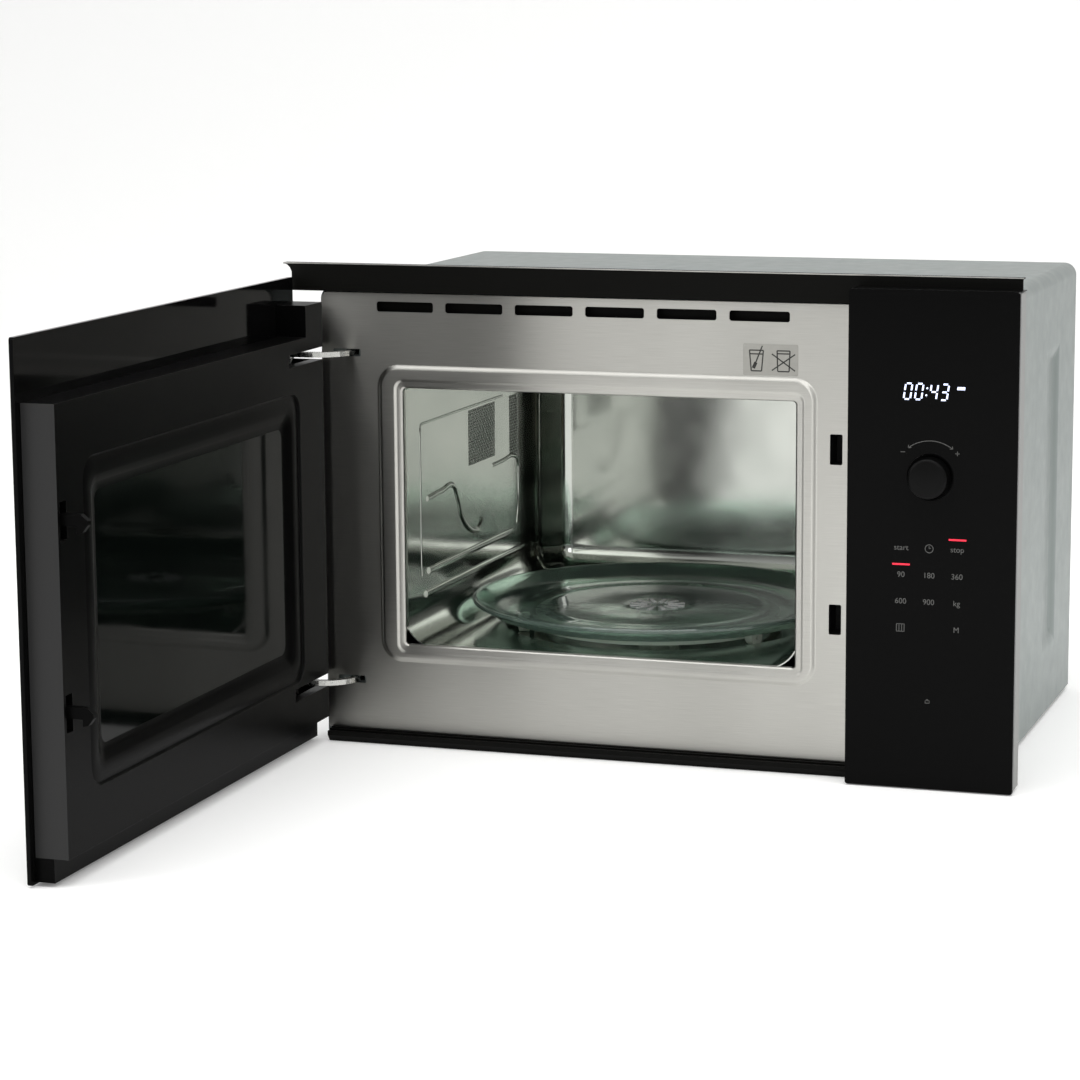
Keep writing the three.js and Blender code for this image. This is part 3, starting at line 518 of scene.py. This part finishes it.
# PBT plastic, moulded: off-white, matt, with a fine spark-eroded grain.
white_plastic = finish("moulded_pbt_plastic", "#dcdcd4", 0.5)
vary(white_plastic, grain(white_plastic, 0.4, detail=3), colours=("#d2d2c9", "#e2e2da"),
     roughness=(0.42, 0.58), relief=0.02)
clothe(white_plastic, "roller_ring", "roller_1", "roller_2", "roller_3", "turntable_coupler", "fan_duct",
       "thermal_cutout", "switch_plunger_primary", "switch_plunger_monitor",
       "switch_plunger_secondary")

# ---------------------------------------------------------------- casing
# One zinc-coated sheet folded over both sides and the top with 10 mm folds. A tall panel is pressed
# in near the rear of each side to stiffen it.
zinc = finish("zinc_coated_steel", "#838a88", 0.42, Metallic=0.85)
vary(zinc, grain(zinc, 14, detail=4), colours=("#7f8684", "#8b9290"), roughness=(0.36, 0.46), relief=0.008)
low, high = (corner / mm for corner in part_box("casing"))
top_fold, press_slope, press_depth = 10, 7, 4
bm = bmesh.new()
verts = [bm.verts.new(Vector((x, low.y, z)) * mm)
         for x, z in ((low.x, low.z), (low.x, high.z), (high.x, high.z), (high.x, low.z))]
made = bmesh.ops.extrude_edge_only(bm, edges=[bm.edges.new(pair) for pair in zip(verts, verts[1:])])["geom"]
bmesh.ops.translate(bm, vec=(0, (high.y - low.y) * mm, 0),
                    verts=[g for g in made if isinstance(g, bmesh.types.BMVert)])
bmesh.ops.bevel(bm, geom=[e for e in bm.edges if len(e.link_faces) == 2], offset=top_fold * mm,
                affect="EDGES", segments=8, profile=0.5, material=-1)
bmesh.ops.recalc_face_normals(bm, faces=bm.faces)
if max(bm.faces, key=lambda f: f.calc_center_median().z).normal.z < 0:
    bmesh.ops.reverse_faces(bm, faces=bm.faces)
pressed = {"y0": 228.0, "y1": 280.0, "z0": 60.0, "z1": 301.0}  # the panel pressed into each side
for axis, at in ((1, pressed["y0"]), (1, pressed["y1"]), (2, pressed["z0"]), (2, pressed["z1"])):
    facing = Vector([float(i == axis) for i in range(3)])
    bmesh.ops.bisect_plane(bm, geom=bm.verts[:] + bm.edges[:] + bm.faces[:], plane_co=facing * at * mm,
                           plane_no=facing)
panels = [f for f in bm.faces if abs(f.normal.x) > 0.99
          and pressed["y0"] * mm < f.calc_center_median().y < pressed["y1"] * mm
          and pressed["z0"] * mm < f.calc_center_median().z < pressed["z1"] * mm]
for panel in panels:
    bmesh.ops.inset_region(bm, faces=[panel], thickness=press_slope * mm, depth=-press_depth * mm,
                           use_even_offset=True)
rims = [e for e in bm.edges if len(e.link_faces) == 2 and 3 < math.degrees(e.calc_face_angle()) < 60
        and max(v.co.z for v in e.verts) < 320 * mm]
bmesh.ops.bevel(bm, geom=rims, offset=4 * mm, affect="EDGES", segments=3, profile=0.5, material=-1)
fit(flats_kept_flat(thicken(new_object(bm, "casing_sheet", zinc), 0.9)), "oven", "zinc_sheet", "casing")
clothe(zinc, "base_pan", "rear_panel", "hinge_bracket_upper", "hinge_bracket_lower", "waveguide",
       "lamp_holder", "turntable_motor", "door_choke_frame")

# ---------------------------------------------------------------- trims
# A folded steel strip runs across the top and a rail across the foot, which the front stands on. Both are
# powder coated black and screwed to the front plate. A thin strip of bright steel along the strip's upper lip
# is a painted highlight for the light the lip catches.
clothe(black_paint, "top_trim", "bottom_rail", "door_screen")
lip = [v.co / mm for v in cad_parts["top_trim"].data.vertices
       if v.co.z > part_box("top_trim")[1].z - 0.4 * mm]
low, high = (Vector([pick(co[axis] for co in lip) for axis in range(3)]) for pick in (min, max))
# Painted highlight: a thin bright steel strip laid on the trim's upper lip.
bm = bmesh.new()
block(bm, low.x, high.x, low.y - 0.3, high.y + 0.1, high.z - 0.7, high.z)
fit(edges_broken(new_object(bm, "trim_lip_painted_highlight", brushed_steel), 0.15), "oven", "stainless")

# ---------------------------------------------------------------- door
# A sheet of black-backed glass bonded to a moulded tray. The tray frames a dark inner pane, and
# behind that a perforated screen keeps the microwaves in. Drawn shut, then swung a quarter open.
pivot = Vector((-279.0, -23.2, 0)) * mm
swung = Matrix.Translation(pivot) @ Matrix.Rotation(-math.pi / 2, 4, "Z") @ Matrix.Translation(-pivot)
tray = {"x0": -295.0, "x1": 162.2, "bottom": 3.0, "step": 19.8, "top": 327.3, "front": -26.7, "back": -2.0}
window = {"x0": -247.0, "x1": 123.5, "z0": 60.0, "z1": 286.0}
black_abs = finish("black_abs_plastic", "#060606", 0.32, IOR=1.1)
vary(black_abs, grain(black_abs, 0.5, detail=3), roughness=(0.27, 0.36), relief=0.005)

bm = bmesh.new()
block(bm, tray["x0"], tray["x1"], tray["front"], tray["back"], tray["step"], tray["top"])
door_tray = new_object(bm, "door_tray", black_abs)
bm = bmesh.new()
block(bm, tray["x0"], tray["x1"], tray["front"], -12.6, tray["bottom"], tray["step"] + 2)
combine(door_tray, bm, "UNION")
bm = bmesh.new()
block(bm, tray["x0"], tray["x0"] + 33, tray["front"], tray["back"], tray["top"] - 2, 352)
combine(door_tray, bm, "UNION")
rooms = [(tray["x0"] + 3, tray["x1"] - 3, tray["front"] - 4, tray["back"] - 9,
          tray["step"] + 4, tray["top"] - 3)]
rooms += [(tray["x0"] - 4, -228, tray["front"] - 4, tray["back"] + 4, z - 5, z + 5) for z in hinge_rows]
rooms += [(149.3, 158.8, -15, 4, z - 14, z + 12) for z in hook_rows]
for sides in rooms:
    bm = bmesh.new()
    block(bm, *sides)
    combine(door_tray, bm)
bm = bmesh.new()
drawn_through(bm, [
    (*grown(window, 0.8), 17, 3), (*grown(window, 0.8), 17, -2.2), (*grown(window, 0), 16, -3.2),
    (*grown(window, -1), 15, -3.6), (*grown(window, -1), 15, -20)], closed=True)
combine(door_tray, bm)
door_tray.data.transform(swung)
dark_grey_and_lit_face_abs = finish("dark_grey_plastic_and_painted_lit_face", "#2a2a2a", 0.5, IOR=1.25)
vary(dark_grey_and_lit_face_abs, grain(dark_grey_and_lit_face_abs, 0.5, detail=3), colours=("#272727", "#2e2e2e"), roughness=(0.44, 0.58),
     relief=0.02)
door_tray.data.materials.append(dark_grey_and_lit_face_abs)
# The tray's face toward the camera along its free edge gets the lighter grey: painted light, a lit copy of
# the black plastic. The same grey is the real colour of hidden parts below.
free_edge = min(v.co.y for v in door_tray.data.vertices) + 1 * mm
for face in door_tray.data.polygons:
    if face.normal.y < -0.9 and face.center.y < free_edge and face.center.z > 21 * mm:
        face.material_index = 1
edge_highlight_abs = finish("painted_highlight_abs_edge", "#121212", 0.25, IOR=1.5)  # lighter and glossier edges: a painted highlight along the tray's edges
vary(edge_highlight_abs, grain(edge_highlight_abs, 2, detail=2), roughness=(0.2, 0.3))
# The tray's bevels take this lighter material as a painted highlight.
door_tray.data.materials.append(edge_highlight_abs)
edges_broken(door_tray, 0.9, 3).modifiers["edges"].material = 2
fit(door_tray, "door", "black_plastic", "door_frame")

# Inner pane with a printed black border, let into a moulded surround that slopes down to it in two steps.
bm = bmesh.new()
drawn_through(bm, [
    (*grown(window, -0.5), 15.5, -5.2), (*grown(window, -0.5), 15.5, -3.9), (*grown(window, -1.3), 15, -3.5),
    (*grown(window, -13), 12, -3.5), (*grown(window, -14.5), 11, -4.0), (*grown(window, -19), 9, -5.6),
    (*grown(window, -20), 8.5, -6.4), (*grown(window, -25), 8, -7.0), (*grown(window, -25), 8, -7.8)])
bmesh.ops.recalc_face_normals(bm, faces=bm.faces)
if sum(f.normal.y * f.calc_area() for f in bm.faces) < 0:
    bmesh.ops.reverse_faces(bm, faces=bm.faces)
surround = thicken(new_object(bm, "window_surround", black_abs), 0.8)
surround.data.transform(swung)
fit(surround, "door", "black_plastic")

# Back-painted float glass: deep black, mirror smooth, with a ground edge.
black_glass = finish("back_painted_glass", "#070707", 0.05, IOR=1.52, Specular_IOR_Level=0.04)
vary(black_glass, grain(black_glass, 120, detail=1), roughness=(0.04, 0.08))
clothe(black_glass, "door_glass", "control_panel_glass")
dark_glass = finish("dark_tinted_glass", "#040605", 0.04, IOR=1.17)
vary(dark_glass, grain(dark_glass, 60, detail=2), roughness=(0.03, 0.08), relief=0.12)
bm = bmesh.new()
block(bm, window["x0"] + 6, window["x1"] - 6, -8, -7.2, window["z0"] + 6, window["z1"] - 6)
bmesh.ops.transform(bm, matrix=swung, verts=bm.verts)
fit(new_object(bm, "inner_pane", dark_glass), "door", "dark_tinted_glass", "door_inner_glass")
clothe(black_abs, "latch_key", "hv_diode")

# ---------------------------------------------------------------- hinges
# Flat steel arms come through slots in the front plate, each riveted to a bracket behind it and holding
# a pin in the door's edge. Zinc plating leaves them bright, with a faint cloudy bloom.
plated = finish("zinc_plated_steel", "#c4c4c0", 0.25, Metallic=1.0)
vary(plated, grain(plated, 3, detail=3), colours=("#b4b4b0", "#d0d0cc"), roughness=(0.18, 0.34), relief=0.02)
clothe(plated, "hinge_arm_upper", "hinge_arm_lower", "hinge_pin_upper", "hinge_pin_lower", "latch_spring",
       "rear_screw_left", "rear_screw_right")

# ---------------------------------------------------------------- control panel
# A tall pane of black glass bonded to a grey moulded ABS housing, which is screwed to the front plate.
# Legends are fired on the glass, a display shines through it and a knob sits in a round hole.
grey_abs = finish("grey_abs_plastic", "#80807e", 0.45)
vary(grey_abs, grain(grey_abs, 0.5, detail=3), colours=("#7a7a78", "#868684"), roughness=(0.4, 0.52),
     relief=0.015)
clothe(grey_abs, "control_panel_housing")
low, high = (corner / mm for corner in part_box("control_panel_housing"))
bm = bmesh.new()  # black strip laid along the top of the housing, so that its top reads black
block(bm, low.x, high.x, low.y, high.y - 1, high.z - 0.4, high.z + 0.3)
fit(edges_broken(new_object(bm, "panel_top_black_strip", black_abs), 0.2), "oven", "black_plastic")
glass_front = -30.0
dial = Vector((232.3, 0, 236.5))

# Dark well behind the round hole, which the knob's shaft comes through.
bm = spun([(6.5, 0), (16.6, 0), (17.2, 0.6), (17.2, 3.4), (16.6, 3.4), (16.4, 0.9), (6.5, 0.8), (6.5, 0)],
          dial * mm + Vector((0, -26.0 * mm, 0)), axis=(0, -1, 0), steps=48)
fit(new_object(bm, "knob_well", black_abs), "oven", "black_plastic")

# Printed legends: dim grey ceramic ink fired on the glass.
ink = finish("ceramic_ink", "#525250", 0.5)
vary(ink, grain(ink, 0.3), colours=("#4c4c4a", "#585856"))
ink_lift = 0.06  # mm proud of the glass


def on_glass(bm, x, z, y=glass_front):
    """Stands a drawing made in mm about its own middle on the glass, or on another face at y."""
    stand = Matrix.Translation(Vector((x, y - ink_lift, z)) * mm) @ Matrix.Rotation(math.pi / 2, 4, "X")
    bmesh.ops.transform(bm, matrix=stand @ Matrix.Scale(mm, 4), verts=bm.verts)
    return bm


def printed(text, x, z, height):
    """One line of generic legend centred at x, z, its capitals height mm tall."""
    curve = bpy.data.curves.new(f"legend_{text}", "FONT")
    curve.body, curve.size, curve.align_x, curve.align_y = text, height * 1.4, "CENTER", "CENTER"
    bm = bmesh.new()
    bm.from_mesh(outline_of(curve))
    return new_object(on_glass(bm, x, z), f"legend_{text}", ink)


def stroke(bm, x0, z0, x1, z1, width):
    """A flat line between two points, in the drawing's own plane, in mm."""
    made = bmesh.ops.create_grid(bm, x_segments=1, y_segments=1, size=0.5)["verts"]
    bmesh.ops.scale(bm, vec=(math.hypot(x1 - x0, z1 - z0), width, 1), verts=made)
    bmesh.ops.rotate(bm, matrix=Matrix.Rotation(math.atan2(z1 - z0, x1 - x0), 3, "Z"), verts=made)
    bmesh.ops.translate(bm, vec=((x0 + x1) / 2, (z0 + z1) / 2, 0), verts=made)


def arc(bm, radius, width, start, end, steps=24):
    """A flat arc about the drawing's middle, from one angle in degrees to another."""
    points = [math.radians(start + (end - start) * i / steps) for i in range(steps + 1)]
    verts = [bm.verts.new((r * math.cos(points[0]), r * math.sin(points[0]), 0))
             for r in (radius - width / 2, radius + width / 2)]
    edge = bm.edges.new(verts)
    bmesh.ops.spin(bm, geom=verts + [edge], axis=(0, 0, 1), cent=(0, 0, 0), angle=points[-1] - points[0],
                   steps=steps)


columns_x, rows_z = (211.3, 232.3, 253.3), (183.2, 162.9, 142.9, 122.9)
legends = {
    "start": (0, 0), "stop": (2, 0), "90": (0, 1), "180": (1, 1), "360": (2, 1),
    "600": (0, 2), "900": (1, 2), "kg": (2, 2), "M": (2, 3),
}
for text, (column, row) in legends.items():
    fit(printed(text, columns_x[column], rows_z[row], 4.2), "oven", "black_glass")

bm = bmesh.new()  # clock
arc(bm, 3.0, 0.5, 0, 360, 32)
stroke(bm, 0, 0, 0, 1.9, 0.45)
stroke(bm, 0, 0, 1.3, 0.5, 0.45)
fit(new_object(on_glass(bm, columns_x[1], rows_z[0]), "icon_clock", ink), "oven", "black_glass")

bm = bmesh.new()  # defrosting grid
for x in (-2.9, -1.0, 1.0, 2.9):
    stroke(bm, x, -2.8, x, 2.8, 0.5)
for z in (-2.8, 2.8):
    stroke(bm, -3.1, z, 3.1, z, 0.5)
fit(new_object(on_glass(bm, columns_x[0], rows_z[3]), "icon_grid", ink), "oven", "black_glass")

bm = bmesh.new()  # key lock
for z in (-1.7, 0.2):
    stroke(bm, -1.7, z, 1.7, z, 0.45)
for x in (-1.5, 1.5):
    stroke(bm, x, -1.7, x, 0.2, 0.45)
arc(bm, 1.0, 0.4, 0, 180, 12)
fit(new_object(on_glass(bm, columns_x[1], 68.4), "icon_lock", ink), "oven", "black_glass")

bm = bmesh.new()  # arc over the knob, with an arrow head at each end, a minus and a plus
arc(bm, 27.0, 0.5, 52, 128, 32)
for side in (-1, 1):
    end_x, end_z = side * 27 * math.cos(math.radians(52)), 27 * math.sin(math.radians(52))
    stroke(bm, end_x, end_z, end_x - side * 0.3, end_z + 2.2, 0.5)
    stroke(bm, end_x, end_z, end_x - side * 2.3, end_z + 0.4, 0.5)
stroke(bm, -22.2, 18.2, -18.8, 18.2, 0.5)
stroke(bm, 18.4, 18.2, 21.8, 18.2, 0.5)
stroke(bm, 20.1, 16.5, 20.1, 19.9, 0.5)
fit(new_object(on_glass(bm, dial.x, dial.z), "icon_turn", ink), "oven", "black_glass")

# The display: white-blue seven-segment digits glowing behind the glass, leaning to the right.
glow = finish("lit_segments", "#dfeaff", 0.4, Emission_Color=linear("#d3daff"), Emission_Strength=1.1)
segments = {"0": "abcdef", "4": "bcfg", "3": "abcdg"}
digit = {"width": 4.9, "height": 11.6, "stroke": 1.25, "lean": 0.14, "foot": 293.9}


def lit_bar(bm, x0, z0, x1, z1, width):
    """A lit segment between two points, with pointed ends."""
    length = math.hypot(x1 - x0, z1 - z0) - width * 0.25
    made = bmesh.ops.create_circle(bm, segments=6, radius=1, cap_ends=True)["verts"]
    for v in made:
        tip = abs(v.co.x) > 0.9
        v.co = Vector((math.copysign(length / 2 if tip else (length - width) / 2, v.co.x),
                       0 if tip else math.copysign(width / 2, v.co.y), 0))
    bmesh.ops.rotate(bm, matrix=Matrix.Rotation(math.atan2(z1 - z0, x1 - x0), 3, "Z"), verts=made)
    bmesh.ops.translate(bm, vec=((x0 + x1) / 2, (z0 + z1) / 2, 0), verts=made)


bm = bmesh.new()
w, h = digit["width"], digit["height"] / 2
strokes = {"a": (0, 2 * h, w, 2 * h), "g": (0, h, w, h), "d": (0, 0, w, 0), "f": (0, h, 0, 2 * h),
           "b": (w, h, w, 2 * h), "e": (0, 0, 0, h), "c": (w, 0, w, h)}
for number, start in (("0", 0.0), ("0", 8.3), ("4", 19.2), ("3", 27.2)):
    for key in segments[number]:
        x0, z0, x1, z1 = strokes[key]
        lit_bar(bm, start + x0, z0, start + x1, z1, digit["stroke"])
for z in (3.2, 8.4):
    dot = bmesh.ops.create_circle(bm, segments=12, radius=0.7, cap_ends=True)["verts"]
    bmesh.ops.translate(bm, vec=(16.4, z, 0), verts=dot)
stroke(bm, 38.6, 8.9, 44.4, 8.9, 2.2)
for v in bm.verts:
    v.co.x += v.co.y * digit["lean"]
fit(new_object(on_glass(bm, 211.8, digit["foot"]), "display_digits", glow), "oven", "display")

red_light = finish("red_key_light", "#d01830", 0.4, Emission_Color=linear("#d8243c"), Emission_Strength=1.0)
bm = bmesh.new()
for x, z in ((253.4, 190.6), (211.3, 170.7)):
    lit_bar(bm, x - 7.4, z, x + 7.4, z, 1.3)
fit(new_object(on_glass(bm, 0, 0), "key_lights", red_light), "oven", "display")

# Knob: black moulded cap with a bevelled rim and a satin face.
bm = spun([(0, 0), (12.6, 0), (13.6, 0.25), (14.6, 1.0), (15, 2.2), (15, 14), (14, 15), (0, 15)],
          dial * mm + Vector((0, -42 * mm, 0)), axis=(0, 1, 0), steps=72)
knob_abs = finish("satin_black_abs", "#050505", 0.3, IOR=1.2)
vary(knob_abs, grain(knob_abs, 0.4, detail=3), roughness=(0.3, 0.42), relief=0.01)
fit(new_object(bm, "knob_cap", knob_abs, 30), "knob", "black_plastic", "knob")

# ---------------------------------------------------------------- pictogram label
# A small film stuck on the plate with two plain drawings: a stick in a glass of water is allowed, and a
# metal can is not.
film = finish("grey_label_film", "#979690", 0.35)
vary(film, grain(film, 4, detail=2), colours=("#92918b", "#9d9c96"), roughness=(0.3, 0.42))
label = {"x": 103.2, "z": 316.2, "width": 42.8, "height": 23.8, "thick": 0.12}
bm = bmesh.new()
drawn_through(bm, [(label["x"] - label["width"] / 2, label["x"] + label["width"] / 2,
                    label["z"] - label["height"] / 2, label["z"] + label["height"] / 2, 1.2, y)
                   for y in (-0.02, -label["thick"])], closed=True)
fit(new_object(bm, "label_film", film, 20), "oven", "zinc_sheet")
black_ink = finish("black_printing_ink", "#1e1e1c", 0.5)
vary(black_ink, grain(black_ink, 0.3), colours=("#1a1a18", "#242422"))
drawings = {  # shift along the label, then lines from x, z to x, z about the drawing's middle
    "label_glass": (-11, [
        (-5.4, 7, -4, -8.6), (5.4, 7, 4, -8.6), (-4, -8.6, 4, -8.6), (-5.4, 7, 5.4, 7), (-5, 4.2, 5, 4.2),
        (4.6, 10.5, -0.8, -3)]),
    "label_can": (10, [
        (-5, 7, -4.4, -8.6), (5, 7, 4.4, -8.6), (-4.4, -8.6, 4.4, -8.6), (-5, 7, 5, 7),
        (-4.8, 4.8, 4.8, 4.8), (-9, 4.5, 9, -8), (-9, -8, 9, 4.5)]),
}
line_width, stick_end_width = 0.95, 2.6
for name, (shift, lines) in drawings.items():
    bm = bmesh.new()
    for line in lines:
        stroke(bm, *line, line_width)
    if name == "label_glass":
        stroke(bm, -0.4, -2.2, -2.4, -6.6, stick_end_width)
    on_glass(bm, label["x"] + shift, label["z"], -label["thick"])
    fit(new_object(bm, name, black_ink), "oven", "black_paint")

# ---------------------------------------------------------------- hidden units
# Power unit, boards and switches behind the panel and beside the cavity, bolted or clipped to the casing.
# Each is in the common material of its kind.
clothe(dark_grey_and_lit_face_abs, "latch_bracket", "door_switch_primary", "door_switch_monitor", "door_switch_secondary",
       "fan_impeller", "touch_key_foil", "display_module")
iron = finish("lacquered_lamination_steel", "#4b4b4d", 0.5, Metallic=0.7)
vary(iron, grain(iron, 0.5, stretch=(40, 1, 40)), colours=("#3f3f41", "#5a5a5c"), roughness=(0.4, 0.6),
     relief=0.05)
clothe(iron, "knob_encoder", "transformer_core", "fan_motor")
copper = finish("enamelled_copper_wire", "#a8562c", 0.3, Metallic=0.9)
vary(copper, grain(copper, 1.0, stretch=(30, 30, 1)), colours=("#8c4420", "#bd6a3a"), relief=0.2)
clothe(copper, "transformer_windings")
aluminium = finish("mill_aluminium", "#b9bbbd", 0.38, Metallic=1.0)
vary(aluminium, grain(aluminium, 0.6, stretch=(1, 30, 1)), roughness=(0.3, 0.46), relief=0.02)
clothe(aluminium, "magnetron", "hv_capacitor")
board = finish("lacquered_circuit_board", "#2c5a3a", 0.35)
vary(board, grain(board, 2.5, detail=4), colours=("#234b30", "#376b46"), relief=0.05)
clothe(board, "control_board", "noise_filter")
lamp_glass = finish("lamp_glass", "#f2efe2", 0.05, Transmission_Weight=0.9, IOR=1.5)
vary(lamp_glass, grain(lamp_glass, 5), relief=0.02)
clothe(lamp_glass, "cavity_lamp")
rubber = finish("black_rubber", "#202020", 0.75)
vary(rubber, grain(rubber, 0.8, detail=4), colours=("#1b1b1b", "#272727"), roughness=(0.68, 0.85),
     relief=0.04)
clothe(rubber, "cord_gland", "rear_foot_left", "rear_foot_right")
